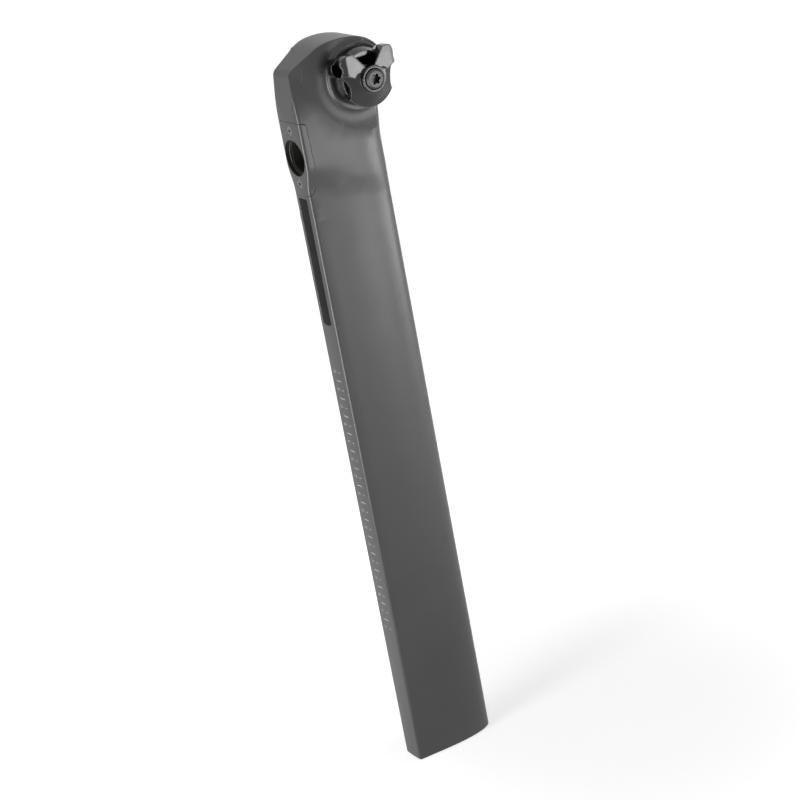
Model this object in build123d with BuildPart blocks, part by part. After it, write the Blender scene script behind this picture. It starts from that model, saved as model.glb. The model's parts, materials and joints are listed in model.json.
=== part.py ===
from build123d import *
import math
import os

os.makedirs("parts", exist_ok=True)

# Aero bicycle seatpost with a transverse side clamp for two saddle rails.
# Millimetres. +Z runs up the post, +X points forward, +Y to the rider's left.
# The origin is on the bottom end, at the middle of the section's chord.

# Post section: flat, lightly crowned rear face and a rounded nose
CHORD = 50.0
REAR_WIDTH = 15.3
WIDEST_WIDTH = 17.8
WIDEST_FROM_REAR = 27.0
SHOULDER_BACK = 8.7
SHOULDER_WIDTH = 14.6
TIP_BACK = 3.8
TIP_WIDTH = 11.0
REAR_CROWN = 0.2
REAR_CORNER_R = 1.6
WALL = 2.2
END_ROUNDING = 0.5

# Head: the wider top of the moulding
BOLT_HEIGHT = 380.0
BOLT_FROM_REAR = 37.0
HEAD_REAR_WIDTH = 21.5
HEAD_WIDEST_WIDTH = 20.9
HEAD_SHOULDER_WIDTH = 17.0
HEAD_TIP_WIDTH = 12.4
FLARE_BELOW_BOLT = 52.0
FLARE_TILT = 0.33
FLARE_HEIGHT = 15.0
TOP_REAR_WIDTH = 15.4
TOP_WIDEST_WIDTH = 22.8
TOP_SHOULDER_WIDTH = 19.6
TOP_TIP_WIDTH = 18.4
TAPER_BELOW_BOLT = 14.0
TAPER_HEIGHT = 26.0
NOSE_SWELL_HEIGHT = 17.0

# Side view of the head: leaning rear face, corner, slope, crown, barrel round the bolt, nose blend
LEAN_BELOW_BOLT = 13.0
LEAN_FORWARD = 1.2
LEAN_TOP_RISE = 7.2
CORNER_FORWARD = 5.2
CORNER_RISE = 11.8
SLOPE_FORWARD = 16.2
SLOPE_RISE = 17.9
CROWN_FORWARD = 29.0
CROWN_RISE = 20.6
BARREL_R = 19.4
BARREL_START_ANGLE = 72.0
BARREL_END_ANGLE = -33.0
NOSE_BLEND_DROP = 21.3
NOSE_BLEND_HEIGHT = 10.7
NOSE_BLEND_REACH = 3.2
OUTLINE_MARGIN = 0.1
CUT_MARGIN = 2.0

# Clamp seats on the two sides of the head
SEAT_R = 17.4
SEAT_SPAN = 29.0
SEAT_EDGE = 0.7
SEAT_STEP = 1.4
SEAT_FLARE_R = 30.0
SEAT_FLARE_DROP = 5.3
SEAT_FLARE_MIDDLE = 0.28
SEAT_FLARE_MIDDLE_DROP = 2.5
SEAT_NOSE_CUT = 44.4
SEAT_NOSE_ANGLE = 28.0

# Alloy sleeve through the head
SLEEVE_OUTER_R = 8.0
SLEEVE_BORE_R = 6.5
SLEEVE_CHAMFER = 0.4

# Rails and clamps
RAIL_R = 3.5
RAIL_SPACING = 44.0
RAIL_RISE = 7.4
CLAMP_SPLIT_GAP = 0.6

# Inner rail cradle: round disc that narrows to the split, bar for the rail, lower fan
CRADLE_LENGTH = 34.0
CRADLE_FOOT_RISE = 3.0
CRADLE_TOP_RISE = 12.4
CRADLE_ROUNDING = 2.5
INNER_DISC_R = 15.0
INNER_DISC_THICKNESS = 2.6
INNER_TOP_R = 13.4
INNER_FAN_DROP = 7.0

# Outer clamp: two thick ears with a valley between them, waist, lower fan, cone and hub
CLAMP_LENGTH = 31.0
CLAMP_TOP = 14.4
DISC_R = 14.8
WAIST_HALF = 11.6
WAIST_DROP = 4.5
FAN_DROP = 8.1
HUB_R = 6.6
HUB_SPAN = 59.0
HUB_EDGE = 0.3
CONE_TOP_R = 8.2
CONE_TOP_DROP = 2.9
EAR_DROP = 2.0
EAR_ROUNDING = 4.5
EAR_FOOT_RISE = 4.2
EAR_HEEL_HALF = 9.6
EAR_HEEL_RISE = 2.4
EAR_NECK_HALF = 7.4
EAR_BEVEL_LENGTH = 2.6
EAR_BEVEL_DEPTH = 2.4
RIM_THICKNESS = 1.4
RIM_STEP = 0.9
VALLEY_HALF_TOP = 8.8
VALLEY_FLOOR_RISE = 6.2
VALLEY_HALF_FLOOR = 2.4
SPIGOT_LENGTH = 3.0
SPIGOT_CLEARANCE = 0.05
SEAT_CLEARANCE = 0.1

# Clamp bolt, washer and nut
BOLT_R = 3.0
BOLT_HOLE_CLEARANCE = 0.2
BOLT_HEAD_R = 4.9
BOLT_HEAD_HEIGHT = 4.2
BOLT_HEAD_PROUD = 1.3
BOLT_HEAD_CHAMFER = 0.9
DRIVE_R = 2.8
DRIVE_LOBE_R = 0.72
DRIVE_DEPTH = 2.8
WASHER_THICKNESS = 0.8
RECESS_CLEARANCE = 0.5
NUT_ACROSS_FLATS = 10.0
NUT_THICKNESS = 5.0
NUT_CLEARANCE = 0.1
BOLT_END_SHORT = 0.4

# Port cover in the rear of the head
PORT_BELOW_BOLT = 34.0
PORT_R = 9.5
COVER_TOP_RISE = 19.4
COVER_BOTTOM_DROP = 20.5
COVER_DEPTH = 5.0
COVER_TOP_DEPTH = 4.1
COVER_PLATE = 2.3
COVER_WING = 1.2
COVER_GAP = 0.15
COVER_TOP_CORNER = 1.7
COVER_BOTTOM_CORNER = 9.5
COVER_EDGE_SLOPE = 1.2

# Carrier and gasket behind the port
POCKET_R = 8.9
POCKET_DEPTH = 10.6
PASSAGE_R = 6.3
HOLDER_CLEARANCE = 0.05
HOLDER_WALL = 0.6
HOLDER_LENGTH = 7.4
HOLDER_BORE_R = 6.4
HOLDER_LIP_THICKNESS = 1.2
GASKET_THICKNESS = 0.6
GASKET_WIDTH = 0.7
KEY_FLAT_HALF = 7.9

# Cover screws and their inserts
SCREW_SPACING = 27.8
SCREW_BELOW_MIDDLE = 0.25
SCREW_R = 1.25
SCREW_HEAD_R = 2.35
SCREW_LENGTH = 7.0
SCREW_HOLE_CLEARANCE = 0.15
SCREW_DRIVE_FLATS = 1.5
SCREW_DRIVE_DEPTH = 0.9
SCREW_HEAD_SUNK = 0.15
INSERT_R = 1.95
INSERT_LENGTH = 5.5
INSERT_HOLE_EXTRA = 0.5

# Strip let into the rear face below the cover
INLAY_WIDTH = 8.0
INLAY_LENGTH = 68.5
INLAY_DEPTH = 0.6
INLAY_BELOW_COVER = 0.9
INLAY_FOOT_ROUND = 1.0

# Hollow of the post
HEAD_CAVITY_BACK_WALL = 12.0
CAVITY_TOP_BELOW_BOLT = 23.0
LOWER_HOLLOW_TOP = 321.0

# Places worked out from the sizes
rear_x = -CHORD / 2
nose_x = CHORD / 2
bolt_x = rear_x + BOLT_FROM_REAR
seat_y = SEAT_SPAN / 2
rail_y = RAIL_SPACING / 2
rail_z = BOLT_HEIGHT + RAIL_RISE
hub_y = HUB_SPAN / 2
port_z = BOLT_HEIGHT - PORT_BELOW_BOLT
cover_top = port_z + COVER_TOP_RISE
cover_bottom = port_z - COVER_BOTTOM_DROP
rear_flare_start = BOLT_HEIGHT - FLARE_BELOW_BOLT
flare_low = rear_flare_start - FLARE_TILT * CHORD
flare_end = rear_flare_start + FLARE_HEIGHT
cavity_top = BOLT_HEIGHT - CAVITY_TOP_BELOW_BOLT
bolt_axis = Axis((bolt_x, 0, BOLT_HEIGHT), (0, 1, 0))
bolt_hole_r = BOLT_R + BOLT_HOLE_CLEARANCE
head_top = BOLT_HEIGHT + CROWN_RISE + CUT_MARGIN
nose_blend_z = BOLT_HEIGHT - NOSE_BLEND_DROP
flare_y = seat_y - SEAT_FLARE_DROP
disc_y = seat_y + SEAT_CLEARANCE
split_inner_y = rail_y - CLAMP_SPLIT_GAP / 2
split_outer_y = rail_y + CLAMP_SPLIT_GAP / 2
ear_y = hub_y - EAR_DROP
bolt_head_y = hub_y + BOLT_HEAD_PROUD
recess_y = bolt_head_y - BOLT_HEAD_HEIGHT - WASHER_THICKNESS
nut_end_y = recess_y + NUT_THICKNESS
landing_depth = COVER_PLATE + COVER_GAP
holder_start = POCKET_DEPTH - HOLDER_LENGTH


def bolt_plane(y):
    """Plane square to the bolt at y, looked at from the right: x forward, y up, normal to the right."""
    return Plane(origin=(bolt_x, y, BOLT_HEIGHT), x_dir=(1, 0, 0), z_dir=(0, -1, 0))


def radial_plane():
    """Plane through the bolt axis: x is the radius upwards, y runs to the right."""
    return Plane(origin=(bolt_x, 0, BOLT_HEIGHT), x_dir=(0, 0, 1), z_dir=(1, 0, 0))


def rear_plane(depth, height):
    """Plane in the rear face at a depth and height: x to the right, y up, normal to the rear."""
    return Plane(origin=(rear_x + depth, 0, height), x_dir=(0, -1, 0), z_dir=(-1, 0, 0))


def eased(distance, length):
    """Share from 0 to 1 that starts and ends level along a length."""
    share = min(max(distance / length, 0.0), 1.0)
    return share * share * (3 - 2 * share)


def post_section(height, rear_width, widest, shoulder, tip, inset=0.0, reach=0.0):
    """Truncated aerofoil section at a height, inset mm inside the surface, its nose reach mm further out."""
    rear = rear_x + inset
    nose = nose_x + reach - inset
    corner_x = rear + REAR_CROWN
    corner_r = REAR_CORNER_R
    rear_half = rear_width / 2 - inset
    start = (corner_x + corner_r, rear_half)
    diagonal = corner_r * math.sqrt(0.5)
    corner_mid = (corner_x + corner_r - diagonal, rear_half - corner_r + diagonal)
    spread = (widest - rear_width) / 2 / WIDEST_FROM_REAR
    side = [
        start,
        (rear_x + WIDEST_FROM_REAR, widest / 2 - inset),
        (nose_x + reach / 2 - SHOULDER_BACK - inset / 2, shoulder / 2 - inset),
        (nose_x + reach - TIP_BACK - inset, tip / 2 - inset / 2),
        (nose, 0),
    ]
    with BuildSketch(Plane.XY.offset(height)) as section:
        with BuildLine():
            ThreePointArc((corner_x, corner_r - rear_half), (rear, 0), (corner_x, rear_half - corner_r))
            ThreePointArc((corner_x, rear_half - corner_r), corner_mid, start)
            Spline(side, tangents=[(1, spread), (0, -1)])
            ThreePointArc(
                (corner_x, corner_r - rear_half),
                (corner_mid[0], -corner_mid[1]),
                (start[0], -start[1]),
            )
            Spline([(x, -y) for x, y in side], tangents=[(1, -spread), (0, 1)])
        make_face()
    return section.sketch


def flare_share(height, from_rear):
    """How far the flare from post to head has come at a height; it starts lower towards the nose."""
    return eased(height - rear_flare_start + FLARE_TILT * from_rear, FLARE_HEIGHT)


def grown(low, high, top, flare, rise):
    """A width that flares from the post's to the head's and then rises to that of the head's top."""
    width = low + flare * (high - low)
    return width + rise * (top - width)


def rear_width_at(height):
    """Width across the rear face: it flares out above the post and tapers again behind the bolt."""
    taper = eased(height - BOLT_HEIGHT + TAPER_BELOW_BOLT, TAPER_HEIGHT)
    return grown(REAR_WIDTH, HEAD_REAR_WIDTH, TOP_REAR_WIDTH, flare_share(height, 0), taper)


def head_section(height):
    """Section of the flare and of the head at a height; its nose swells to the barrel round the bolt."""
    swell = eased(height - flare_end, NOSE_SWELL_HEIGHT)
    widening = eased(height - flare_end, BOLT_HEIGHT - flare_end)
    blend = (min(height, BOLT_HEIGHT) - nose_blend_z) / NOSE_BLEND_HEIGHT
    at_widest = flare_share(height, WIDEST_FROM_REAR)
    at_shoulder = flare_share(height, CHORD - SHOULDER_BACK)
    at_tip = flare_share(height, CHORD - TIP_BACK)
    return post_section(
        height,
        rear_width_at(height),
        grown(WIDEST_WIDTH, HEAD_WIDEST_WIDTH, TOP_WIDEST_WIDTH, at_widest, widening),
        grown(SHOULDER_WIDTH, HEAD_SHOULDER_WIDTH, TOP_SHOULDER_WIDTH, at_shoulder, swell),
        grown(TIP_WIDTH, HEAD_TIP_WIDTH, TOP_TIP_WIDTH, at_tip, swell),
        reach=NOSE_BLEND_REACH * max(blend, 0.0) ** 2,
    )


def side_plane(half_span):
    """Plane of the side view at +half_span in Y, its normal towards -Y."""
    return Plane.XZ.offset(-half_span)


def head_outline(half_span):
    """Side view of the head, closed far below: leaning rear face, corner, slope, crown and barrel."""
    start = math.radians(BARREL_START_ANGLE)
    end = math.radians(BARREL_END_ANGLE)
    lean_foot = (rear_x - OUTLINE_MARGIN, BOLT_HEIGHT - LEAN_BELOW_BOLT)
    lean_top = (rear_x + LEAN_FORWARD, BOLT_HEIGHT + LEAN_TOP_RISE)
    slope_foot = (rear_x + CORNER_FORWARD, BOLT_HEIGHT + CORNER_RISE)
    slope_top = (rear_x + SLOPE_FORWARD, BOLT_HEIGHT + SLOPE_RISE)
    crown = (rear_x + CROWN_FORWARD, BOLT_HEIGHT + CROWN_RISE)
    barrel_top = (bolt_x + BARREL_R * math.cos(start), BOLT_HEIGHT + BARREL_R * math.sin(start))
    barrel_low = (bolt_x + BARREL_R * math.cos(end), BOLT_HEIGHT + BARREL_R * math.sin(end))
    lean = (lean_top[0] - lean_foot[0], lean_top[1] - lean_foot[1])
    slope = (slope_top[0] - slope_foot[0], slope_top[1] - slope_foot[1])
    blend_middle = (nose_x + NOSE_BLEND_REACH / 4 + OUTLINE_MARGIN, nose_blend_z + NOSE_BLEND_HEIGHT / 2)
    nose_foot = (nose_x + OUTLINE_MARGIN, nose_blend_z)
    with BuildSketch(side_plane(half_span)) as outline:
        with BuildLine():
            Line((rear_x - 2 * OUTLINE_MARGIN, -CHORD), lean_foot)
            Line(lean_foot, lean_top)
            Spline([lean_top, slope_foot], tangents=[lean, slope])
            Line(slope_foot, slope_top)
            Spline(
                [slope_top, crown, barrel_top],
                tangents=[slope, (1, 0), (math.sin(start), -math.cos(start))],
            )
            ThreePointArc(barrel_top, (bolt_x + BARREL_R, BOLT_HEIGHT), barrel_low)
            Spline(
                [barrel_low, blend_middle, nose_foot],
                tangents=[(math.sin(end), -math.cos(end)), (0, -1)],
            )
            Polyline(nose_foot, (nose_foot[0], -CHORD), (rear_x - 2 * OUTLINE_MARGIN, -CHORD))
        make_face()
    return outline.sketch


def seat_outline():
    """Half section of a clamp seat, swept round the bolt axis: a flat disc on a hollow, trumpet-like flare."""
    foot = (SEAT_R, seat_y - SEAT_STEP)
    middle = (
        SEAT_R + SEAT_FLARE_MIDDLE * (SEAT_FLARE_R - SEAT_R),
        seat_y - SEAT_FLARE_MIDDLE_DROP,
    )
    with BuildSketch(radial_plane()) as outline:
        with BuildLine():
            Line((0, 0), (0, seat_y))
            Line((0, seat_y), (SEAT_R - SEAT_EDGE, seat_y))
            Line((SEAT_R - SEAT_EDGE, seat_y), (SEAT_R, seat_y - SEAT_EDGE))
            Line((SEAT_R, seat_y - SEAT_EDGE), foot)
            Spline([foot, middle, (SEAT_FLARE_R, flare_y)], tangents=[(0.3, -1), (1, -0.5)])
            Line((SEAT_FLARE_R, flare_y), (SEAT_FLARE_R, 0))
            Line((SEAT_FLARE_R, 0), (0, 0))
        make_face()
    return outline.sketch


def neck_outline():
    """Half section of the seat's own disc, without its flare."""
    with BuildSketch(radial_plane()) as outline:
        with BuildLine():
            Polyline(
                (0, 0),
                (0, seat_y),
                (SEAT_R - SEAT_EDGE, seat_y),
                (SEAT_R, seat_y - SEAT_EDGE),
                (SEAT_R, 0),
                close=True,
            )
        make_face()
    return outline.sketch


def nose_limits():
    """Plan view that keeps the seat flares inside the line of the nose."""
    angle = math.radians(SEAT_NOSE_ANGLE)
    apex = rear_x + SEAT_NOSE_CUT / math.cos(angle)
    shoulder = apex - SEAT_SPAN * math.tan(angle)
    with BuildSketch(Plane.XY.offset(-CHORD)) as outline:
        with BuildLine():
            Polyline(
                (rear_x - CHORD, -SEAT_SPAN),
                (shoulder, -SEAT_SPAN),
                (apex, 0),
                (shoulder, SEAT_SPAN),
                (rear_x - CHORD, SEAT_SPAN),
                close=True,
            )
        make_face()
    return outline.sketch


def cover_outline(half_span, gap=0.0):
    """Side view of the region that the port cover fills, grown by gap."""
    back = rear_x - 2 * COVER_TOP_CORNER
    low_front = rear_x + COVER_DEPTH + gap
    top_front = rear_x + COVER_TOP_DEPTH + gap
    low_edge = (rear_x + COVER_EDGE_SLOPE / 2, cover_bottom + COVER_EDGE_SLOPE - gap)
    low_corner = (low_front, cover_bottom + COVER_BOTTOM_CORNER)
    top_corner = (top_front, cover_top - COVER_TOP_CORNER - COVER_EDGE_SLOPE)
    top_edge = (top_front - COVER_TOP_CORNER, cover_top - COVER_EDGE_SLOPE + gap)
    with BuildSketch(side_plane(half_span)) as outline:
        with BuildLine():
            Polyline((back, cover_bottom - gap), low_edge)
            Spline([low_edge, low_corner], tangents=[(1, 0.3), (0, 1)])
            Line(low_corner, top_corner)
            Spline([top_corner, top_edge], tangents=[(0, 1), (-1, 0.4)])
            Polyline(top_edge, (back, cover_top + gap), (back, cover_bottom - gap))
        make_face()
    return outline.sketch


def inlay_outline(gap=0.0):
    """The inlay strip seen from the rear: square at the top, rounded at the foot."""
    top = cover_bottom - INLAY_BELOW_COVER
    half = INLAY_WIDTH / 2 + gap
    foot = top - INLAY_LENGTH - gap
    shoulder = foot + INLAY_FOOT_ROUND
    with BuildSketch(rear_plane(-CUT_MARGIN, 0)) as outline:
        with BuildLine():
            Polyline((-half, shoulder), (-half, top + gap), (half, top + gap), (half, shoulder))
            ThreePointArc((-half, shoulder), (0, foot), (half, shoulder))
        make_face()
    return outline.sketch


def screw_heights():
    middle = port_z + SCREW_BELOW_MIDDLE
    return [middle + SCREW_SPACING / 2, middle - SCREW_SPACING / 2]


def landing_outline(depth, gap):
    """Rear view of the block under the cover plate, narrower than the moulding by the wings and a gap."""
    steps = 8
    low = cover_bottom - COVER_PLATE
    high = cover_top + COVER_PLATE
    right = []
    for step in range(steps + 1):
        height = low + (high - low) * step / steps
        right.append((rear_width_at(height) / 2 - COVER_WING - gap, height))
    left = [(-across, height) for across, height in reversed(right)]
    with BuildSketch(rear_plane(depth, 0)) as outline:
        with BuildLine():
            Polyline(right + left, close=True)
        make_face()
    return outline.sketch


def cradle_profile():
    """Half section of the inner cradle's round part, narrower at the split."""
    with BuildSketch(radial_plane()) as outline:
        with BuildLine():
            Polyline(
                (0, disc_y),
                (INNER_DISC_R, disc_y),
                (INNER_DISC_R, disc_y + INNER_DISC_THICKNESS),
                (INNER_TOP_R, split_inner_y),
                (0, split_inner_y),
                close=True,
            )
        make_face()
    return outline.sketch


def cradle_bar():
    """Side view of the bar that carries the rail, open in the middle where the round disc stands clear."""
    height = CRADLE_TOP_RISE - CRADLE_FOOT_RISE
    with BuildSketch(bolt_plane(-disc_y)) as outline:
        with Locations((0, CRADLE_FOOT_RISE + height / 2)):
            RectangleRounded(CRADLE_LENGTH, height, CRADLE_ROUNDING)
        with BuildLine():
            Polyline(
                (-VALLEY_HALF_FLOOR, VALLEY_FLOOR_RISE),
                (-VALLEY_HALF_TOP, CLAMP_TOP),
                (VALLEY_HALF_TOP, CLAMP_TOP),
                (VALLEY_HALF_FLOOR, VALLEY_FLOOR_RISE),
                close=True,
            )
        make_face(mode=Mode.SUBTRACT)
    return outline.sketch


def fan_outline(y, radius, drop):
    """Side view of a fan: the part of a disc that lies more than drop under the bolt."""
    with BuildSketch(bolt_plane(y)) as outline:
        Circle(radius)
        with Locations((0, -drop)):
            Rectangle(3 * radius, 2 * radius, align=(Align.CENTER, Align.MAX), mode=Mode.INTERSECT)
    return outline.sketch


def ear_corner(side):
    """Rounded upper corner of an ear, from its top to its end."""
    half = CLAMP_LENGTH / 2
    corner_u = half - EAR_ROUNDING
    corner_w = CLAMP_TOP - EAR_ROUNDING
    diagonal = EAR_ROUNDING * math.sqrt(0.5)
    ThreePointArc(
        (side * corner_u, CLAMP_TOP),
        (side * (corner_u + diagonal), corner_w + diagonal),
        (side * half, corner_w),
    )


def clamp_outline(y):
    """Side view of an outer clamp at y: two rail ears with a valley between, a waist and a round lower fan."""
    half = CLAMP_LENGTH / 2
    fan_half = math.sqrt(DISC_R**2 - FAN_DROP**2)
    with BuildSketch(bolt_plane(y)) as outline:
        with BuildLine():
            Line((-VALLEY_HALF_FLOOR, VALLEY_FLOOR_RISE), (VALLEY_HALF_FLOOR, VALLEY_FLOOR_RISE))
            ThreePointArc((-fan_half, -FAN_DROP), (0, -DISC_R), (fan_half, -FAN_DROP))
            for side in (-1, 1):
                Polyline(
                    (side * VALLEY_HALF_FLOOR, VALLEY_FLOOR_RISE),
                    (side * VALLEY_HALF_TOP, CLAMP_TOP),
                    (side * (half - EAR_ROUNDING), CLAMP_TOP),
                )
                ear_corner(side)
                Line((side * half, CLAMP_TOP - EAR_ROUNDING), (side * half, EAR_FOOT_RISE))
                Spline(
                    [
                        (side * half, EAR_FOOT_RISE),
                        (side * WAIST_HALF, -WAIST_DROP),
                        (side * fan_half, -FAN_DROP),
                    ],
                    tangents=[(-side, -0.9), (side * 0.6, -1)],
                )
        make_face()
    return outline.sketch


def ear_outline(y, side):
    """Side view of the thick ear at one end of an outer clamp, its heel under it and its neck at the hub."""
    half = CLAMP_LENGTH / 2
    with BuildSketch(bolt_plane(y)) as outline:
        with BuildLine():
            Polyline(
                (side * half, CLAMP_TOP - EAR_ROUNDING),
                (side * half, EAR_FOOT_RISE),
                (side * (half - EAR_BEVEL_LENGTH), EAR_FOOT_RISE),
                (side * EAR_HEEL_HALF, EAR_HEEL_RISE),
                (side * EAR_NECK_HALF, EAR_FOOT_RISE),
                (side * VALLEY_HALF_FLOOR, EAR_FOOT_RISE),
                (side * VALLEY_HALF_FLOOR, VALLEY_FLOOR_RISE),
                (side * VALLEY_HALF_TOP, CLAMP_TOP),
                (side * (half - EAR_ROUNDING), CLAMP_TOP),
            )
            ear_corner(side)
        make_face()
    return outline.sketch


def ear_bevel_outline(side):
    """Plan view of the wedge taken off the end of an ear, drawn a little larger than the cut."""
    beyond = 1.0
    slope = EAR_BEVEL_DEPTH / EAR_BEVEL_LENGTH
    end = bolt_x + side * CLAMP_LENGTH / 2
    start = end - side * EAR_BEVEL_LENGTH
    with BuildSketch(Plane.XY.offset(BOLT_HEIGHT)) as outline:
        with BuildLine():
            Polyline(
                (end + side * beyond, -ear_y + EAR_BEVEL_DEPTH + slope * beyond),
                (end + side * beyond, -ear_y - slope * beyond),
                (start - side * beyond, -ear_y - slope * beyond),
                close=True,
            )
        make_face()
    return outline.sketch


def hub_outline():
    """Half section of an outer clamp's round part: fan rim, cone and hub."""
    rim_y = split_outer_y + RIM_THICKNESS
    with BuildSketch(radial_plane()) as outline:
        with BuildLine():
            Polyline(
                (0, split_outer_y),
                (DISC_R, split_outer_y),
                (DISC_R, rim_y),
                (DISC_R - RIM_STEP, rim_y),
                (CONE_TOP_R, hub_y - CONE_TOP_DROP),
                (HUB_R, hub_y - CONE_TOP_DROP + HUB_EDGE),
                (HUB_R, hub_y - HUB_EDGE),
                (HUB_R - HUB_EDGE, hub_y),
                (0, hub_y),
                close=True,
            )
        make_face()
    return outline.sketch


# Outer form of the moulding without its clamp seats: post, flare and head, cut to the head's side view
section_steps = 19
section_pitch = (head_top - flare_low) / section_steps
section_heights = [flare_low + section_pitch * step for step in range(section_steps + 1)]
with BuildPart() as core:
    extrude(post_section(0, REAR_WIDTH, WIDEST_WIDTH, SHOULDER_WIDTH, TIP_WIDTH), amount=flare_low)
    loft([head_section(height) for height in section_heights])
    extrude(head_outline(SEAT_SPAN), amount=2 * SEAT_SPAN, mode=Mode.INTERSECT)
    fillet(core.edges().group_by(Axis.Z)[0], END_ROUNDING)

# Flared seats of the clamps, kept inside the side view and the line of the nose
with BuildPart() as flares:
    revolve(seat_outline(), axis=bolt_axis)
    mirror(about=Plane.XZ)
    extrude(head_outline(SEAT_SPAN), amount=2 * SEAT_SPAN, mode=Mode.INTERSECT)
    extrude(nose_limits(), amount=2 * BOLT_HEIGHT, mode=Mode.INTERSECT)

with BuildPart() as necks:
    revolve(neck_outline(), axis=bolt_axis)
    mirror(about=Plane.XZ)

# Outer form of the whole moulding, before it is opened
with BuildPart() as moulding:
    add(core.part)
    add(flares.part)
    add(necks.part)

# Hollow of the post: full section below the port, set forward behind it
with BuildPart() as hollow:
    extrude(
        post_section(-1.0, REAR_WIDTH, WIDEST_WIDTH, SHOULDER_WIDTH, TIP_WIDTH, inset=WALL),
        amount=cavity_top + 1.0,
    )
    with Locations((rear_x + HEAD_CAVITY_BACK_WALL, 0, LOWER_HOLLOW_TOP)):
        Box(CHORD, 3 * WIDEST_WIDTH, head_top, align=(Align.MAX, Align.CENTER, Align.MIN), mode=Mode.SUBTRACT)

# Everything that the port cover fills, and the landing it sits on
with BuildPart() as cover_recess:
    extrude(cover_outline(seat_y, COVER_GAP), amount=SEAT_SPAN)
    extrude(landing_outline(landing_depth, COVER_GAP), amount=-(COVER_DEPTH + CUT_MARGIN), mode=Mode.SUBTRACT)

# One-piece post with its head
with BuildPart() as post_shell:
    add(moulding.part)
    add(hollow.part, mode=Mode.SUBTRACT)
    add(cover_recess.part, mode=Mode.SUBTRACT)
    with BuildSketch(rear_plane(0, port_z)):
        Circle(POCKET_R)
    extrude(amount=-POCKET_DEPTH, mode=Mode.SUBTRACT)
    with BuildSketch(rear_plane(0, port_z)):
        Circle(PASSAGE_R)
    extrude(amount=-(HEAD_CAVITY_BACK_WALL + 1.0), mode=Mode.SUBTRACT)
    extrude(inlay_outline(COVER_GAP / 3), amount=-(CUT_MARGIN + INLAY_DEPTH), mode=Mode.SUBTRACT)
    for height in screw_heights():
        with BuildSketch(rear_plane(landing_depth, height)):
            Circle(INSERT_R)
        extrude(amount=-(INSERT_LENGTH + INSERT_HOLE_EXTRA), mode=Mode.SUBTRACT)
    with BuildSketch(bolt_plane(-seat_y)):
        Circle(SLEEVE_OUTER_R)
    extrude(amount=-SEAT_SPAN, mode=Mode.SUBTRACT)
post_shell.part.label = "post_shell"
export_step(post_shell.part, "parts/post_shell.step")

# Cover plate of the port, with wings that wrap round the two rear corners
with BuildPart() as port_cover:
    add(moulding.part)
    extrude(cover_outline(seat_y), amount=SEAT_SPAN, mode=Mode.INTERSECT)
    extrude(landing_outline(COVER_PLATE, 0), amount=-(COVER_DEPTH + CUT_MARGIN), mode=Mode.SUBTRACT)
    with BuildSketch(rear_plane(-CUT_MARGIN, port_z)):
        Circle(PORT_R)
    extrude(amount=-(COVER_DEPTH + 2 * CUT_MARGIN), mode=Mode.SUBTRACT)
    with Locations(*[rear_plane(0, height) for height in screw_heights()]):
        CounterSinkHole(
            radius=SCREW_R + SCREW_HOLE_CLEARANCE,
            counter_sink_radius=SCREW_HEAD_R + SCREW_HEAD_SUNK,
            counter_sink_angle=90,
        )
port_cover.part.label = "port_cover"
export_step(port_cover.part, "parts/port_cover.step")

# Strip in the rear face
with BuildPart() as rear_inlay:
    add(moulding.part)
    extrude(inlay_outline(), amount=-(CUT_MARGIN + INLAY_DEPTH), mode=Mode.INTERSECT)
rear_inlay.part.label = "rear_inlay"
export_step(rear_inlay.part, "parts/rear_inlay.step")

# Ring-shaped carrier in the pocket, with two key flats and a lip at its inner end
with BuildPart() as port_holder:
    with BuildSketch(rear_plane(holder_start, port_z)):
        Circle(POCKET_R - HOLDER_CLEARANCE)
        Rectangle(2 * KEY_FLAT_HALF, 2 * POCKET_R, mode=Mode.INTERSECT)
    extrude(amount=-HOLDER_LENGTH)
    with BuildSketch(rear_plane(holder_start, port_z)):
        Circle(POCKET_R - HOLDER_CLEARANCE - HOLDER_WALL)
        Rectangle(2 * (KEY_FLAT_HALF - HOLDER_WALL), 2 * POCKET_R, mode=Mode.INTERSECT)
    extrude(amount=-(HOLDER_LENGTH - HOLDER_LIP_THICKNESS), mode=Mode.SUBTRACT)
    with BuildSketch(rear_plane(holder_start, port_z)):
        Circle(HOLDER_BORE_R)
    extrude(amount=-HOLDER_LENGTH, mode=Mode.SUBTRACT)
port_holder.part.label = "port_holder"
export_step(port_holder.part, "parts/port_holder.step")

# Rubber ring on the lip of the carrier
gasket_r = KEY_FLAT_HALF - HOLDER_WALL - HOLDER_CLEARANCE
with BuildPart() as port_gasket:
    with BuildSketch(rear_plane(POCKET_DEPTH - HOLDER_LIP_THICKNESS - GASKET_THICKNESS, port_z)):
        Circle(gasket_r)
        Circle(gasket_r - GASKET_WIDTH, mode=Mode.SUBTRACT)
    extrude(amount=-GASKET_THICKNESS)
port_gasket.part.label = "port_gasket"
export_step(port_gasket.part, "parts/port_gasket.step")

# Countersunk cover screw and its brass insert, at the upper place
with BuildPart() as cover_screw_upper:
    with Locations(rear_plane(SCREW_HEAD_SUNK, screw_heights()[0])):
        Cone(
            bottom_radius=SCREW_R,
            top_radius=SCREW_HEAD_R,
            height=SCREW_HEAD_R - SCREW_R,
            align=(Align.CENTER, Align.CENTER, Align.MAX),
        )
        Cylinder(SCREW_R, SCREW_LENGTH, align=(Align.CENTER, Align.CENTER, Align.MAX))
    with BuildSketch(rear_plane(SCREW_HEAD_SUNK, screw_heights()[0])):
        RegularPolygon(SCREW_DRIVE_FLATS / 2, 6, major_radius=False)
    extrude(amount=-SCREW_DRIVE_DEPTH, mode=Mode.SUBTRACT)
cover_screw_upper.part.label = "cover_screw_upper"
export_step(cover_screw_upper.part, "parts/cover_screw_upper.step")

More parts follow.
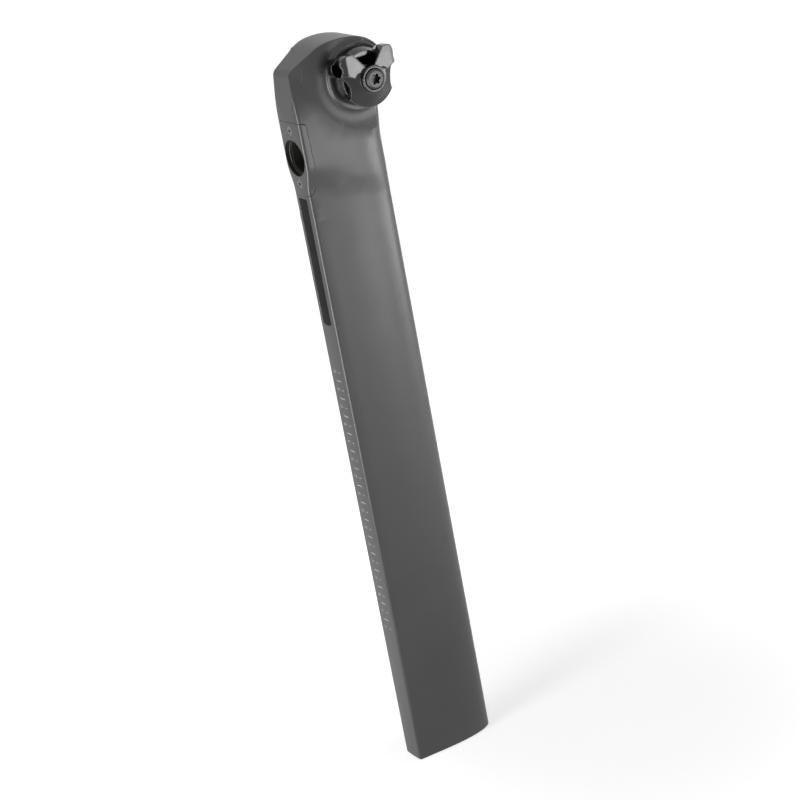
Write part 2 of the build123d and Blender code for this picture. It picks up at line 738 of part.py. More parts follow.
with BuildPart() as screw_insert_upper:
    with BuildSketch(rear_plane(landing_depth, screw_heights()[0])):
        Circle(INSERT_R)
        Circle(SCREW_R, mode=Mode.SUBTRACT)
    extrude(amount=-INSERT_LENGTH)
screw_insert_upper.part.label = "screw_insert_upper"
export_step(screw_insert_upper.part, "parts/screw_insert_upper.step")

# The same two pieces at the lower place
with BuildPart() as cover_screw_lower:
    with Locations((0, 0, -SCREW_SPACING)):
        add(cover_screw_upper.part)
cover_screw_lower.part.label = "cover_screw_lower"
export_step(cover_screw_lower.part, "parts/cover_screw_lower.step")

with BuildPart() as screw_insert_lower:
    with Locations((0, 0, -SCREW_SPACING)):
        add(screw_insert_upper.part)
screw_insert_lower.part.label = "screw_insert_lower"
export_step(screw_insert_lower.part, "parts/screw_insert_lower.step")

# Alloy sleeve bonded through the head
with BuildPart() as head_sleeve:
    with BuildSketch(bolt_plane(-seat_y)):
        Circle(SLEEVE_OUTER_R)
        Circle(SLEEVE_BORE_R, mode=Mode.SUBTRACT)
    extrude(amount=-SEAT_SPAN)
    chamfer(head_sleeve.edges().filter_by(GeomType.CIRCLE).sort_by(SortBy.RADIUS)[:2], SLEEVE_CHAMFER)
head_sleeve.part.label = "head_sleeve"
export_step(head_sleeve.part, "parts/head_sleeve.step")

# Inner rail cradle of the right side: round disc against the seat, bar for the rail, spigot in the sleeve
with BuildPart() as inner_clamp_right:
    revolve(cradle_profile(), axis=bolt_axis)
    extrude(cradle_bar(), amount=split_inner_y - disc_y)
    extrude(fan_outline(-disc_y, INNER_DISC_R, INNER_FAN_DROP), amount=split_inner_y - disc_y)
    with BuildSketch(bolt_plane(-disc_y)):
        Circle(SLEEVE_BORE_R - SPIGOT_CLEARANCE)
    extrude(amount=-SPIGOT_LENGTH)
    with BuildSketch(bolt_plane(0)):
        Circle(bolt_hole_r)
    extrude(amount=hub_y, mode=Mode.SUBTRACT)
    with Locations(Location((bolt_x, -rail_y, rail_z), (0, 90, 0))):
        Cylinder(RAIL_R, 2 * CRADLE_LENGTH, mode=Mode.SUBTRACT)
inner_clamp_right.part.label = "inner_clamp_right"
export_step(inner_clamp_right.part, "parts/inner_clamp_right.step")

with BuildPart() as inner_clamp_left:
    add(mirror(inner_clamp_right.part, about=Plane.XZ, mode=Mode.PRIVATE))
inner_clamp_left.part.label = "inner_clamp_left"
export_step(inner_clamp_left.part, "parts/inner_clamp_left.step")

# Outer rail clamp before its bolt recess is cut
with BuildPart() as outer_blank:
    revolve(hub_outline(), axis=bolt_axis)
    extrude(clamp_outline(-split_outer_y), amount=hub_y, mode=Mode.INTERSECT)
    extrude(clamp_outline(-split_outer_y), amount=RIM_THICKNESS)
    for side in (-1, 1):
        extrude(ear_outline(-split_outer_y, side), amount=ear_y - split_outer_y)
    with BuildSketch(bolt_plane(-split_outer_y)):
        Circle(HUB_R)
    extrude(amount=hub_y - HUB_EDGE - split_outer_y)
    for side in (-1, 1):
        extrude(ear_bevel_outline(side), amount=2 * CLAMP_TOP, mode=Mode.SUBTRACT)
    with BuildSketch(bolt_plane(0)):
        Circle(bolt_hole_r)
    extrude(amount=2 * hub_y, mode=Mode.SUBTRACT)
    with Locations(Location((bolt_x, -rail_y, rail_z), (0, 90, 0))):
        Cylinder(RAIL_R, 2 * CRADLE_LENGTH, mode=Mode.SUBTRACT)

with BuildPart() as outer_clamp_right:
    add(outer_blank.part)
    with BuildSketch(bolt_plane(-recess_y)):
        Circle(BOLT_HEAD_R + RECESS_CLEARANCE)
    extrude(amount=hub_y, mode=Mode.SUBTRACT)
outer_clamp_right.part.label = "outer_clamp_right"
export_step(outer_clamp_right.part, "parts/outer_clamp_right.step")

with BuildPart() as outer_clamp_left:
    add(mirror(outer_blank.part, about=Plane.XZ, mode=Mode.PRIVATE))
    with BuildSketch(bolt_plane(recess_y)):
        RegularPolygon(NUT_ACROSS_FLATS / 2 + NUT_CLEARANCE, 6, major_radius=False)
    extrude(amount=-hub_y, mode=Mode.SUBTRACT)
outer_clamp_left.part.label = "outer_clamp_left"
export_step(outer_clamp_left.part, "parts/outer_clamp_left.step")

# Cross bolt with a six-lobe drive
bolt_length = bolt_head_y - BOLT_HEAD_HEIGHT + nut_end_y - BOLT_END_SHORT
with BuildPart() as clamp_bolt:
    with BuildSketch(bolt_plane(-bolt_head_y)):
        Circle(BOLT_HEAD_R)
    extrude(amount=-BOLT_HEAD_HEIGHT)
    chamfer(clamp_bolt.edges().filter_by(GeomType.CIRCLE).sort_by(Axis.Y)[0], BOLT_HEAD_CHAMFER)
    with BuildSketch(bolt_plane(BOLT_HEAD_HEIGHT - bolt_head_y)):
        Circle(BOLT_R)
    extrude(amount=-bolt_length)
    with BuildSketch(bolt_plane(-bolt_head_y)):
        Circle(DRIVE_R - DRIVE_LOBE_R)
        with PolarLocations(DRIVE_R - DRIVE_LOBE_R, 6):
            Circle(DRIVE_LOBE_R)
    extrude(amount=-DRIVE_DEPTH, mode=Mode.SUBTRACT)
clamp_bolt.part.label = "clamp_bolt"
export_step(clamp_bolt.part, "parts/clamp_bolt.step")

with BuildPart() as bolt_washer:
    with BuildSketch(bolt_plane(-recess_y)):
        Circle(BOLT_HEAD_R + RECESS_CLEARANCE / 2)
        Circle(bolt_hole_r, mode=Mode.SUBTRACT)
    extrude(amount=WASHER_THICKNESS)
bolt_washer.part.label = "bolt_washer"
export_step(bolt_washer.part, "parts/bolt_washer.step")

with BuildPart() as clamp_nut:
    with BuildSketch(bolt_plane(recess_y)):
        RegularPolygon(NUT_ACROSS_FLATS / 2, 6, major_radius=False)
        Circle(BOLT_R, mode=Mode.SUBTRACT)
    extrude(amount=-NUT_THICKNESS)
clamp_nut.part.label = "clamp_nut"
export_step(clamp_nut.part, "parts/clamp_nut.step")
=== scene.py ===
# %% [markdown]
# The object is an aero bicycle seatpost: one hollow composite moulding with a clamp for two saddle rails.
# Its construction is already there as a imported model, and this lesson gives it its looks.
# Loading the model comes first, because every piece takes its place and size from it.

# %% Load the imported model
import json
import math

import bmesh
import bpy
from mathutils import Matrix, Vector

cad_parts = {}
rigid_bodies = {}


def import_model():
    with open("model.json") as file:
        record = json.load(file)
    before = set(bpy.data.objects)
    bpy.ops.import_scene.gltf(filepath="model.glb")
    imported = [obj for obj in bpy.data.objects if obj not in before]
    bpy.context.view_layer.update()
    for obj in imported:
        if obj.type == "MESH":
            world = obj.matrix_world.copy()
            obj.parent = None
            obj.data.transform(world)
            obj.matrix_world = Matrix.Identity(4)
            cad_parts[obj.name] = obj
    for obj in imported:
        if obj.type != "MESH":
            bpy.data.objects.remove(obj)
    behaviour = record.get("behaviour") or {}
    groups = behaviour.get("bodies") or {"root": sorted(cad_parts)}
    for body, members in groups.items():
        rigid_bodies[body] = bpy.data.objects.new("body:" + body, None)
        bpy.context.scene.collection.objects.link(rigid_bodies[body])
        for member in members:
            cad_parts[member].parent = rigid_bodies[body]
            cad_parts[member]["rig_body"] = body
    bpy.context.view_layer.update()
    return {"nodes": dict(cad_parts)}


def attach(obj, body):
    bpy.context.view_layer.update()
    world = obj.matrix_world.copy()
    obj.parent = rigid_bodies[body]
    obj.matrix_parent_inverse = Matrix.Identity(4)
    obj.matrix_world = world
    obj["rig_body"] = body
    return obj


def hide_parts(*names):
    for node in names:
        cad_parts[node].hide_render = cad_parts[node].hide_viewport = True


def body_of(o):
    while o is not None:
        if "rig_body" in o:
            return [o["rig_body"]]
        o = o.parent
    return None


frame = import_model()
MM = 0.001
nodes = frame["nodes"]

# %% [markdown]
# Materials are node trees. One helper adds a node with its settings and links, and one turns the
# sRGB hex colours that painters quote into the linear values that the shader works in.

# %% Helpers for materials


def linear(hex_colour):
    """Linear RGBA of an sRGB hex colour."""
    parts = [int(hex_colour[i:i + 2], 16) / 255 for i in (1, 3, 5)]
    return tuple(c / 12.92 if c <= 0.04045 else ((c + 0.055) / 1.055) ** 2.4 for c in parts) + (1.0,)


def add_node(tree, kind, settings=None, inputs=None):
    """Adds a node, sets its properties, then fills its inputs with values or links from other sockets."""
    node = tree.nodes.new(kind)
    for name, value in (settings or {}).items():
        setattr(node, name, value)
    for name, value in (inputs or {}).items():
        if isinstance(value, bpy.types.NodeSocket):
            tree.links.new(value, node.inputs[name])
        else:
            node.inputs[name].default_value = value
    return node


def new_material(name):
    """An empty material with only its output node."""
    material = bpy.data.materials.new(name)
    material.use_nodes = True
    material.node_tree.nodes.clear()
    add_node(material.node_tree, "ShaderNodeOutputMaterial")
    return material


def connect_surface(material, shader):
    """Links a shader to the material's output."""
    output = material.node_tree.nodes["Material Output"]
    material.node_tree.links.new(shader.outputs[0], output.inputs["Surface"])
    print("material", material.name, "nodes", len(material.node_tree.nodes))


# %% [markdown]
# The post is moulded composite under a satin dark grey paint. Sprayed paint keeps a fine orange peel,
# a slow drift in gloss from flow, and a few pale flecks of the effect pigment. The peel is a bump of
# 1.6 mm waves and the drift is a wide noise in the roughness. The depth is a few microns, so it only
# shows where light glances along the surface. Paint also rounds crisp edges, which a Bevel node does
# in the shading alone, so that the shape stays as it was measured.

# %% Satin paint on composite

PAINTED_SOFTNESS = 0.6 * MM
EDGE_SAMPLES = 8


def satin_paint(name, colour, dark_colour, roughness):
    """Sprayed satin paint: orange peel, slow gloss drift and a faint cloud in the colour."""
    material = new_material(name)
    tree = material.node_tree
    place = add_node(tree, "ShaderNodeTexCoord").outputs["Object"]
    peel = add_node(tree, "ShaderNodeTexNoise", {}, {
        "Vector": place, "Scale": 1 / (1.6 * MM), "Detail": 2.0, "Roughness": 0.5})
    cloud = add_node(tree, "ShaderNodeTexNoise", {}, {
        "Vector": place, "Scale": 1 / (38 * MM), "Detail": 3.0, "Roughness": 0.55})
    grain = add_node(tree, "ShaderNodeTexNoise", {}, {
        "Vector": place, "Scale": 1 / (0.35 * MM), "Detail": 1.0, "Roughness": 0.5})
    tone = add_node(tree, "ShaderNodeMapRange", {}, {
        "Value": cloud.outputs[0], "From Min": 0.35, "From Max": 0.65, "To Min": 0.0, "To Max": 1.0})
    body = add_node(tree, "ShaderNodeMix", {"data_type": "RGBA"}, {
        "Factor": tone.outputs[0], "A": linear(dark_colour), "B": linear(colour)})
    gloss = add_node(tree, "ShaderNodeMapRange", {}, {
        "Value": cloud.outputs[0], "From Min": 0.3, "From Max": 0.7,
        "To Min": roughness - 0.03, "To Max": roughness + 0.03})
    speck = add_node(tree, "ShaderNodeMapRange", {}, {
        "Value": grain.outputs[0], "From Min": 0.3, "From Max": 0.7, "To Min": 0.97, "To Max": 1.03})
    fleck = add_node(tree, "ShaderNodeVectorMath", {"operation": "SCALE"}, {
        0: body.outputs["Result"], "Scale": speck.outputs[0]})
    soft_edge = add_node(tree, "ShaderNodeBevel", {"samples": EDGE_SAMPLES}, {"Radius": PAINTED_SOFTNESS})
    bump = add_node(tree, "ShaderNodeBump", {}, {
        "Height": peel.outputs[0], "Strength": 0.12, "Distance": 0.02 * MM,
        "Normal": soft_edge.outputs[0]})
    shader = add_node(tree, "ShaderNodeBsdfPrincipled", {}, {
        "Base Color": fleck.outputs[0], "Roughness": gloss.outputs[0], "Specular IOR Level": 0.6,
        "Normal": bump.outputs[0]})
    connect_surface(material, shader)
    return material


post_paint = satin_paint("satin_painted_composite", "#2d2d2c", "#2a2a29", 0.37)
cover_paint = satin_paint("satin_painted_nylon_cover", "#2f2f2e", "#2c2c2b", 0.35)

# %% [markdown]
# The rail clamps are forged aluminium, polished and then anodised black. The oxide film is glassy, so
# the clamps mirror the studio: their flat faces catch a bright card and the rest goes nearly black.
# Faint wipe marks from the fingers that fitted them break up the gloss.

# %% Gloss black anodised aluminium

FORGED_SOFTNESS = 0.9 * MM


def black_anodised():
    """Polished aluminium under a dense black oxide film, with faint wipe marks in the gloss."""
    material = new_material("gloss_black_anodised_aluminium")
    tree = material.node_tree
    place = add_node(tree, "ShaderNodeTexCoord").outputs["Object"]
    wipe = add_node(tree, "ShaderNodeTexNoise", {}, {
        "Vector": place, "Scale": 1 / (5.5 * MM), "Detail": 4.0, "Roughness": 0.6, "Distortion": 0.6})
    gloss = add_node(tree, "ShaderNodeMapRange", {}, {
        "Value": wipe.outputs[0], "From Min": 0.35, "From Max": 0.7, "To Min": 0.11, "To Max": 0.17})
    forge = add_node(tree, "ShaderNodeTexNoise", {}, {
        "Vector": place, "Scale": 1 / (2.4 * MM), "Detail": 1.0, "Roughness": 0.5})
    soft_edge = add_node(tree, "ShaderNodeBevel", {"samples": EDGE_SAMPLES}, {"Radius": FORGED_SOFTNESS})
    bump = add_node(tree, "ShaderNodeBump", {}, {
        "Height": forge.outputs[0], "Strength": 0.06, "Distance": 0.02 * MM,
        "Normal": soft_edge.outputs[0]})
    shader = add_node(tree, "ShaderNodeBsdfPrincipled", {}, {
        "Base Color": linear("#070708"), "Roughness": gloss.outputs[0], "Specular IOR Level": 0.42,
        "Coat Weight": 0.22, "Coat Roughness": 0.06, "Normal": bump.outputs[0]})
    connect_surface(material, shader)
    return material


anodised = black_anodised()

# %% [markdown]
# The bolt, the washer, the nut and the cover screws are steel. Turned faces keep rings round the axis,
# 0.12 mm apart on the real part and drawn 1.9 mm apart so that they show. A wave texture of scale 1 has
# its crests 2 pi / 20 apart, which sets the scale that gives this step. The bolt and its washer are zinc
# plated, the nut is blackened and the screws are stainless. The carrier in the port, the gasket and the
# inlay are moulded, so they carry the fine grain of a tool instead.

# %% Steel, aluminium, brass, nylon and rubber

RING_STEP = 1.885 * MM
WAVE_PERIOD = 2 * math.pi / 20


def turned_metal(name, colour, worn_colour, roughness, centre, axis_turn):
    """Metal turned on a lathe: fine rings round an axis and a slow drift in tone."""
    material = new_material(name)
    tree = material.node_tree
    place = add_node(tree, "ShaderNodeTexCoord").outputs["Object"]
    moved = add_node(tree, "ShaderNodeVectorMath", {"operation": "SUBTRACT"}, {0: place, 1: centre})
    turned = add_node(tree, "ShaderNodeMapping", {}, {"Vector": moved.outputs[0], "Rotation": axis_turn})
    rings = add_node(tree, "ShaderNodeTexWave", {"wave_type": "RINGS", "rings_direction": "Z"}, {
        "Vector": turned.outputs[0], "Scale": WAVE_PERIOD / RING_STEP, "Distortion": 0.6, "Detail": 1.0})
    drift = add_node(tree, "ShaderNodeTexNoise", {}, {
        "Vector": place, "Scale": 1 / (3 * MM), "Detail": 3.0, "Roughness": 0.6})
    tone = add_node(tree, "ShaderNodeMix", {"data_type": "RGBA"}, {
        "Factor": drift.outputs[0], "A": linear(colour), "B": linear(worn_colour)})
    bump = add_node(tree, "ShaderNodeBump", {}, {
        "Height": rings.outputs["Fac"], "Strength": 0.12, "Distance": 0.01 * MM})
    shader = add_node(tree, "ShaderNodeBsdfPrincipled", {}, {
        "Base Color": tone.outputs["Result"], "Metallic": 1.0, "Roughness": roughness,
        "Normal": bump.outputs[0]})
    connect_surface(material, shader)
    return material


def moulded(name, colour, roughness, grain_mm, depth_mm, specular=0.5):
    """Moulded polymer with the fine grain of its tool."""
    material = new_material(name)
    tree = material.node_tree
    place = add_node(tree, "ShaderNodeTexCoord").outputs["Object"]
    grain = add_node(tree, "ShaderNodeTexVoronoi", {}, {"Vector": place, "Scale": 1 / (grain_mm * MM)})
    haze = add_node(tree, "ShaderNodeTexNoise", {}, {"Vector": place, "Scale": 1 / (6 * MM), "Detail": 3.0})
    gloss = add_node(tree, "ShaderNodeMapRange", {}, {
        "Value": haze.outputs[0], "From Min": 0.3, "From Max": 0.7,
        "To Min": roughness - 0.05, "To Max": roughness + 0.05})
    bump = add_node(tree, "ShaderNodeBump", {}, {
        "Height": grain.outputs["Distance"], "Strength": 0.25, "Distance": depth_mm * MM})
    shader = add_node(tree, "ShaderNodeBsdfPrincipled", {}, {
        "Base Color": linear(colour), "Roughness": gloss.outputs[0], "Specular IOR Level": specular,
        "Normal": bump.outputs[0]})
    connect_surface(material, shader)
    return material


BOLT_X = 12 * MM
BOLT_Z = 380 * MM
PORT_Z = 346 * MM
bolt_axis_point = (BOLT_X, 0, BOLT_Z)
port_axis_point = (0, 0, PORT_Z)
along_bolt = (math.radians(90), 0, 0)
along_port = (0, math.radians(90), 0)
plated_steel = turned_metal("zinc_plated_steel", "#4f4e4d", "#434241", 0.36, bolt_axis_point, along_bolt)
oxide_steel = turned_metal("black_oxide_steel", "#4a4a4c", "#3c3c3e", 0.32, bolt_axis_point, along_bolt)
screw_steel = turned_metal("stainless_screw_steel", "#7c7b79", "#6b6a68", 0.34, port_axis_point, along_port)
sleeve_alloy = turned_metal("machined_aluminium", "#c8c8cb", "#b6b6ba", 0.3, bolt_axis_point, along_bolt)
insert_brass = turned_metal("machined_brass", "#c9a463", "#b08c4e", 0.3, port_axis_point, along_port)
carrier_nylon = moulded("glass_filled_nylon_black", "#2a2724", 0.45, 0.5, 0.02)
gasket_rubber = moulded("moulded_epdm_rubber", "#1d1c1b", 0.6, 0.4, 0.02)
inlay_vinyl = moulded("smooth_dark_vinyl_inlay", "#0d0d0d", 0.42, 0.8, 0.004, specular=0.06)

# %% [markdown]
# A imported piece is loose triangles, so it shades flat. A copy with its doubles merged can shade smooth
# wherever the surface bends gently and stay crisp at real edges, which is how a moulding looks.

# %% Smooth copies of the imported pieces


def place_piece(name, bm, material):
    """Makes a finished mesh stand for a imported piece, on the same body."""
    mesh = bpy.data.meshes.new(name + "_finished")
    bm.to_mesh(mesh)
    bm.free()
    mesh.materials.append(material)
    piece = bpy.data.objects.new(name + "_finished", mesh)
    bpy.context.scene.collection.objects.link(piece)
    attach(piece, body_of(nodes[name])[0])
    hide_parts(name)
    print(piece.name, "faces", len(mesh.polygons))
    return piece


SHARP_ANGLE = math.radians(30)
MERGE_REACH = 0.002 * MM


def merged_copy(name):
    """A node's mesh with its doubles merged, smooth up to the sharp angle."""
    bm = bmesh.new()
    bm.from_mesh(nodes[name].data)
    bmesh.ops.remove_doubles(bm, verts=bm.verts, dist=MERGE_REACH)
    for face in bm.faces:
        face.smooth = True
    for edge in bm.edges:
        edge.smooth = len(edge.link_faces) == 2 and edge.calc_face_angle(0) < SHARP_ANGLE
    return bm


finishes = {
    "post_shell": (post_paint, "composite"),
    "port_cover": (cover_paint, "cover_plastic"),
    "clamp_bolt": (plated_steel, "bolt_steel"),
    "bolt_washer": (plated_steel, "bolt_steel"),
    "clamp_nut": (oxide_steel, "bolt_steel"),
    "head_sleeve": (sleeve_alloy, "alloy"),
    "cover_screw_upper": (screw_steel, "bolt_steel"),
    "cover_screw_lower": (screw_steel, "bolt_steel"),
    "port_holder": (carrier_nylon, "carrier_plastic"),
    "port_gasket": (gasket_rubber, "gasket_rubber"),
    "screw_insert_upper": (insert_brass, "insert_brass"),
    "screw_insert_lower": (insert_brass, "insert_brass"),
    "rear_inlay": (inlay_vinyl, "inlay_film"),
}
for name, (material, slot) in finishes.items():
    place_piece(name, merged_copy(name), material)

# %% [markdown]
# The clamps are forged and tumbled before they are anodised, so every edge is rounded by almost a
# millimetre, which their gloss shows as thin bright lines. Their large faces keep level normals.

# %% Rail clamps
for name in ("outer_clamp_right", "outer_clamp_left", "inner_clamp_right", "inner_clamp_left"):
    clamp = place_piece(name, merged_copy(name), anodised)
    level = clamp.modifiers.new("level_faces", "WEIGHTED_NORMAL")
    level.keep_sharp = True
    level.weight = 90

# %% [markdown]
# The height scale is screen printed on the rear face in pale ink: a bright tick every 10 mm, and
# half-way between them a small number with a fainter tick. A print is a few microns thick, so each mark
# is a sheet that follows the slight crown of the face and stands only 0.012 mm proud.

# %% Printed height scale


def scale_ink(name, colour):
    """Pale screen ink with pinholes in it, so that the marks look printed."""
    material = new_material(name)
    tree = material.node_tree
    place = add_node(tree, "ShaderNodeTexCoord").outputs["Object"]
    holes = add_node(tree, "ShaderNodeTexNoise", {}, {
        "Vector": place, "Scale": 1 / (0.5 * MM), "Detail": 2.0})
    cover = add_node(tree, "ShaderNodeMapRange", {}, {
        "Value": holes.outputs[0], "From Min": 0.38, "From Max": 0.55, "To Min": 0.35, "To Max": 1.0})
    tone = add_node(tree, "ShaderNodeMix", {"data_type": "RGBA"}, {
        "Factor": cover.outputs[0], "A": linear("#6f6e6b"), "B": linear(colour)})
    shader = add_node(tree, "ShaderNodeBsdfPrincipled", {}, {
        "Base Color": tone.outputs["Result"], "Roughness": 0.5})
    connect_surface(material, shader)
    return material


bright_ink = scale_ink("screen_ink_pale_grey", "#b2b1ad")
REAR_X = -25 * MM
CROWN_DEPTH = 0.2 * MM
CROWN_HALF = 6.05 * MM
PRINT_PROUD = 0.012 * MM
SCALE_LOW = 80
SCALE_HIGH = 230
SCALE_STEP = 10
NUMBER_Y = 2.2 * MM
NUMBER_SIZE = 2.0 * MM
TICK_Y = -0.3 * MM
TICK_LENGTH = 4.4 * MM
TICK_WIDTH = 0.42 * MM
FAINT_TICK_Y = TICK_Y - 2.2 * MM
FAINT_TICK_LENGTH = 2.0 * MM
FAINT_TICK_WIDTH = 0.26 * MM


def follow_crown(bm):
    """Lays flat marks, drawn in the plane x = 0, on the crowned rear face."""
    for vert in bm.verts:
        share = vert.co.y / CROWN_HALF
        vert.co.x += REAR_X + CROWN_DEPTH * share * share - PRINT_PROUD


def add_tick(bm, height, across, length, width):
    """One tick: a flat bar cut across in four, so that it can bend."""
    made = bmesh.ops.create_grid(bm, x_segments=4, y_segments=1, size=0.5)
    turn = Matrix.Rotation(math.radians(90), 4, "Z") @ Matrix.Rotation(math.radians(-90), 4, "X")
    bmesh.ops.scale(bm, vec=(length, width, 1), verts=made["verts"])
    bmesh.ops.transform(bm, matrix=turn, verts=made["verts"])
    bmesh.ops.translate(bm, vec=(0, across, height), verts=made["verts"])


def number_mesh(text, height):
    """Mesh of a small number in the rear plane, read from behind the post."""
    curve = bpy.data.curves.new("scale_number", "FONT")
    curve.body = text
    curve.size = NUMBER_SIZE
    curve.align_x = "CENTER"
    curve.align_y = "CENTER"
    curve.resolution_u = 2
    holder = bpy.data.objects.new("scale_number", curve)
    mesh = bpy.data.meshes.new_from_object(holder)
    bpy.data.objects.remove(holder)
    turn = Matrix.Rotation(math.radians(-90), 4, "Z") @ Matrix.Rotation(math.radians(90), 4, "X")
    mesh.transform(Matrix.Translation((0, NUMBER_Y, height)) @ turn)
    return mesh


bm = bmesh.new()
for level in range(SCALE_LOW + SCALE_STEP // 2, SCALE_HIGH, SCALE_STEP):
    add_tick(bm, level * MM, TICK_Y, TICK_LENGTH, TICK_WIDTH)
for level in range(SCALE_LOW, SCALE_HIGH + 1, SCALE_STEP):
    add_tick(bm, level * MM, FAINT_TICK_Y, FAINT_TICK_LENGTH, FAINT_TICK_WIDTH)
    bm.from_mesh(number_mesh(str(level), level * MM))
follow_crown(bm)
bmesh.ops.recalc_face_normals(bm, faces=bm.faces)
for face in bm.faces:
    face.normal_update()
    if face.normal.x > 0:
        face.normal_flip()
ink_mesh = bpy.data.meshes.new("height_scale_print")
bm.to_mesh(ink_mesh)
bm.free()
ink_mesh.materials.append(bright_ink)
ink = bpy.data.objects.new("height_scale_print", ink_mesh)
bpy.context.scene.collection.objects.link(ink)
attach(ink, body_of(nodes["post_shell"])[0])
print("scale marks", len(ink_mesh.polygons))

# %% [markdown]
# The camera stands to the right and behind the post, 28 degrees round from square to its side and
# 20 degrees up, with a long lens, as for a catalogue picture.

# %% Camera

AZIMUTH = math.radians(-28.28)
ELEVATION = math.radians(20.5)
ROLL = math.radians(-10.72)
DISTANCE = 1212.64 * MM
FOCAL_PIXELS = 2288
FRAME_PIXELS = 800
SENSOR_WIDTH = 36
TARGET = Vector((8.45 * MM, 0, 202.4 * MM))

back = Vector((
    math.sin(AZIMUTH) * math.cos(ELEVATION),
    -math.cos(AZIMUTH) * math.cos(ELEVATION),
    math.sin(ELEVATION),
))
level_right = Vector((math.cos(AZIMUTH), math.sin(AZIMUTH), 0))
level_up = back.cross(level_right)
right = level_right * math.cos(ROLL) + level_up * math.sin(ROLL)
up = level_up * math.cos(ROLL) - level_right * math.sin(ROLL)
camera_data = bpy.data.cameras.new("camera")
camera_data.sensor_width = SENSOR_WIDTH
camera_data.lens = FOCAL_PIXELS * SENSOR_WIDTH / FRAME_PIXELS
camera = bpy.data.objects.new("camera", camera_data)
turn = Matrix((right, up, back)).transposed()
camera.matrix_world = Matrix.Translation(TARGET + back * DISTANCE) @ turn.to_4x4()
bpy.context.scene.collection.objects.link(camera)
bpy.context.scene.camera = camera
print("lens", round(camera_data.lens, 2))

# %% [markdown]
# The studio is a white background over a pale floor. Both are white to the camera and to mirrors, while
# the light that they spread on the post stays plain. The floor glows less close to the post, so that
# its own shading, and with it the shadow of the post, still shows there. That dimmer patch, centred a
# little off the post towards where its shadow falls, is itself painted shade on the floor, and it also
# darkens the floor that the lower post mirrors.

# %% Backdrop and floor


def seen_directly(tree):
    """One for rays from the camera, from a mirror or through glass, and zero for light that spreads."""
    path = add_node(tree, "ShaderNodeLightPath")
    mirrored = add_node(tree, "ShaderNodeMath", {"operation": "MAXIMUM"}, {
        0: path.outputs["Is Camera Ray"], 1: path.outputs["Is Glossy Ray"]})
    return add_node(tree, "ShaderNodeMath", {"operation": "MAXIMUM"}, {
        0: mirrored.outputs[0], 1: path.outputs["Is Transmission Ray"]})


scene = bpy.context.scene
scene.view_settings.view_transform = "Standard"
world = bpy.data.worlds.new("studio")
scene.world = world
world.use_nodes = True
tree = world.node_tree
tree.nodes.clear()
output = add_node(tree, "ShaderNodeOutputWorld")
ambient = add_node(tree, "ShaderNodeBackground", {}, {"Color": linear("#ffffff"), "Strength": 0.2})
white = add_node(tree, "ShaderNodeBackground", {}, {"Color": linear("#ffffff"), "Strength": 1.0})
seen = seen_directly(tree)
mix = add_node(tree, "ShaderNodeMixShader", {}, {
    0: seen.outputs[0], 1: ambient.outputs[0], 2: white.outputs[0]})
tree.links.new(mix.outputs[0], output.inputs["Surface"])

# Painted shade: the floor's glow dips round this point near the base of the post.
SHADE_CENTRE = (80 * MM, -60 * MM, 0)
SHADE_INNER = 40 * MM
SHADE_OUTER = 300 * MM
GLOW_NEAR = 0.62
GLOW_FAR = 0.93
floor_paint = new_material("matt_white_studio_floor")
tree = floor_paint.node_tree
seen = seen_directly(tree)
plain = add_node(tree, "ShaderNodeBsdfDiffuse", {}, {"Color": linear("#c0c0c0")})
shade = add_node(tree, "ShaderNodeBsdfDiffuse", {}, {"Color": linear("#b4b4b4")})
place = add_node(tree, "ShaderNodeTexCoord").outputs["Object"]
reach = add_node(tree, "ShaderNodeVectorMath", {"operation": "DISTANCE"}, {0: place, 1: SHADE_CENTRE})
lift = add_node(tree, "ShaderNodeMapRange", {"interpolation_type": "SMOOTHSTEP"}, {
    "Value": reach.outputs["Value"], "From Min": SHADE_INNER, "From Max": SHADE_OUTER,
    "To Min": GLOW_NEAR, "To Max": GLOW_FAR})
glow = add_node(tree, "ShaderNodeEmission", {}, {
    "Color": linear("#ffffff"), "Strength": lift.outputs["Result"]})
lit = add_node(tree, "ShaderNodeAddShader", {}, {0: shade.outputs[0], 1: glow.outputs[0]})
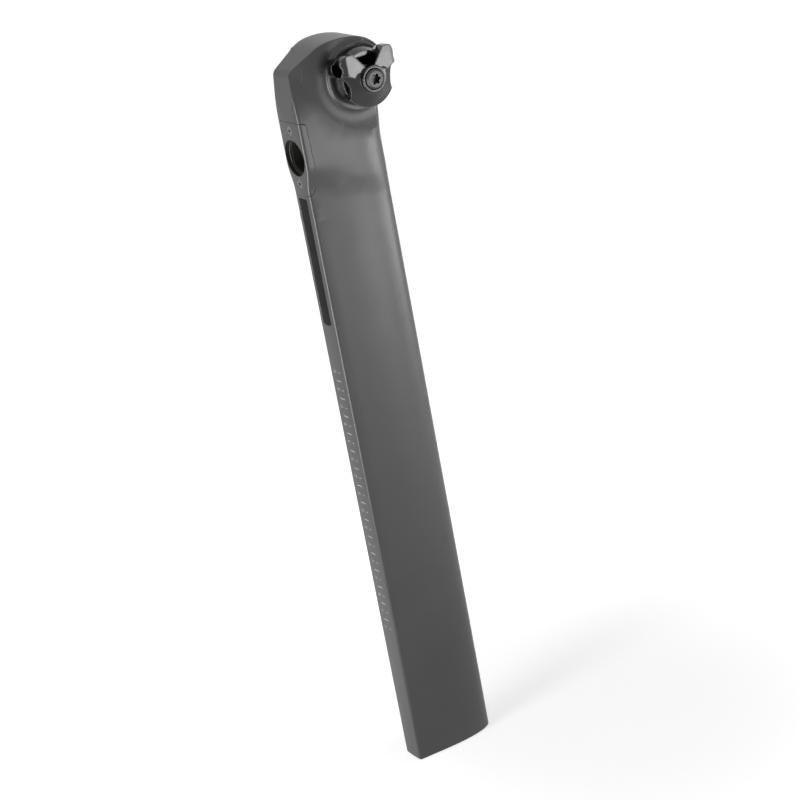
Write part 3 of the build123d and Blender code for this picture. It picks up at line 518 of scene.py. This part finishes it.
floor_mix = add_node(tree, "ShaderNodeMixShader", {}, {
    0: seen.outputs[0], 1: plain.outputs[0], 2: lit.outputs[0]})
connect_surface(floor_paint, floor_mix)
FLOOR_HALF = 4.0
FLOOR_DROP = 0.5 * MM
bm = bmesh.new()
bmesh.ops.create_grid(bm, x_segments=1, y_segments=1, size=FLOOR_HALF)
bmesh.ops.translate(bm, vec=(0, 0, -FLOOR_DROP), verts=bm.verts)
floor_mesh = bpy.data.meshes.new("floor")
bm.to_mesh(floor_mesh)
bm.free()
floor_mesh.materials.append(floor_paint)
floor = bpy.data.objects.new("floor", floor_mesh)
scene.collection.objects.link(floor)
print("floor half width", FLOOR_HALF)

# %% [markdown]
# Gloss is drawn by what it mirrors, so each lamp stands where one part of the post looks to from the
# camera: a key for the rounded front, a low strip of light for the side, an upright strip behind that
# draws the rear corner, a small card for the flat faces of the clamp and a soft one overhead.

# %% Soft boxes


def softbox(name, toward, distance, width, height, level, aim):
    """An area lamp that gives a white card facing it the brightness level, where 1 is white."""
    direction = Vector(toward).normalized()
    data = bpy.data.lights.new(name, "AREA")
    data.shape = "RECTANGLE"
    data.size = width
    data.size_y = height
    data.energy = level * math.pi ** 2 * distance ** 2
    lamp = bpy.data.objects.new(name, data)
    lamp.matrix_world = (
        Matrix.Translation(Vector(aim) + direction * distance)
        @ direction.to_track_quat("Z", "Y").to_matrix().to_4x4()
    )
    scene.collection.objects.link(lamp)
    print(name, "watts", round(data.energy, 2))


softbox("key", (0.84, -0.44, -0.08), 0.75, 0.3, 0.42, 0.58, aim=(0, 0, 330 * MM))
softbox("side_sheen", (0.47, -0.83, -0.27), 0.8, 0.3, 0.14, 0.15, aim=(10 * MM, 0, 320 * MM))
softbox("corner_strip", (-0.90, -0.2, -0.22), 0.4, 0.14, 0.42, 1.5, aim=(-25 * MM, 0, 300 * MM))
softbox("facet_card", (0.475, -0.852, -0.222), 0.75, 0.09, 0.09, 0.043, aim=(12 * MM, -28 * MM, 386 * MM))
softbox("top", (-0.1, 0.1, 1.0), 1.4, 0.9, 0.9, 0.12, aim=(0, 0, 240 * MM))
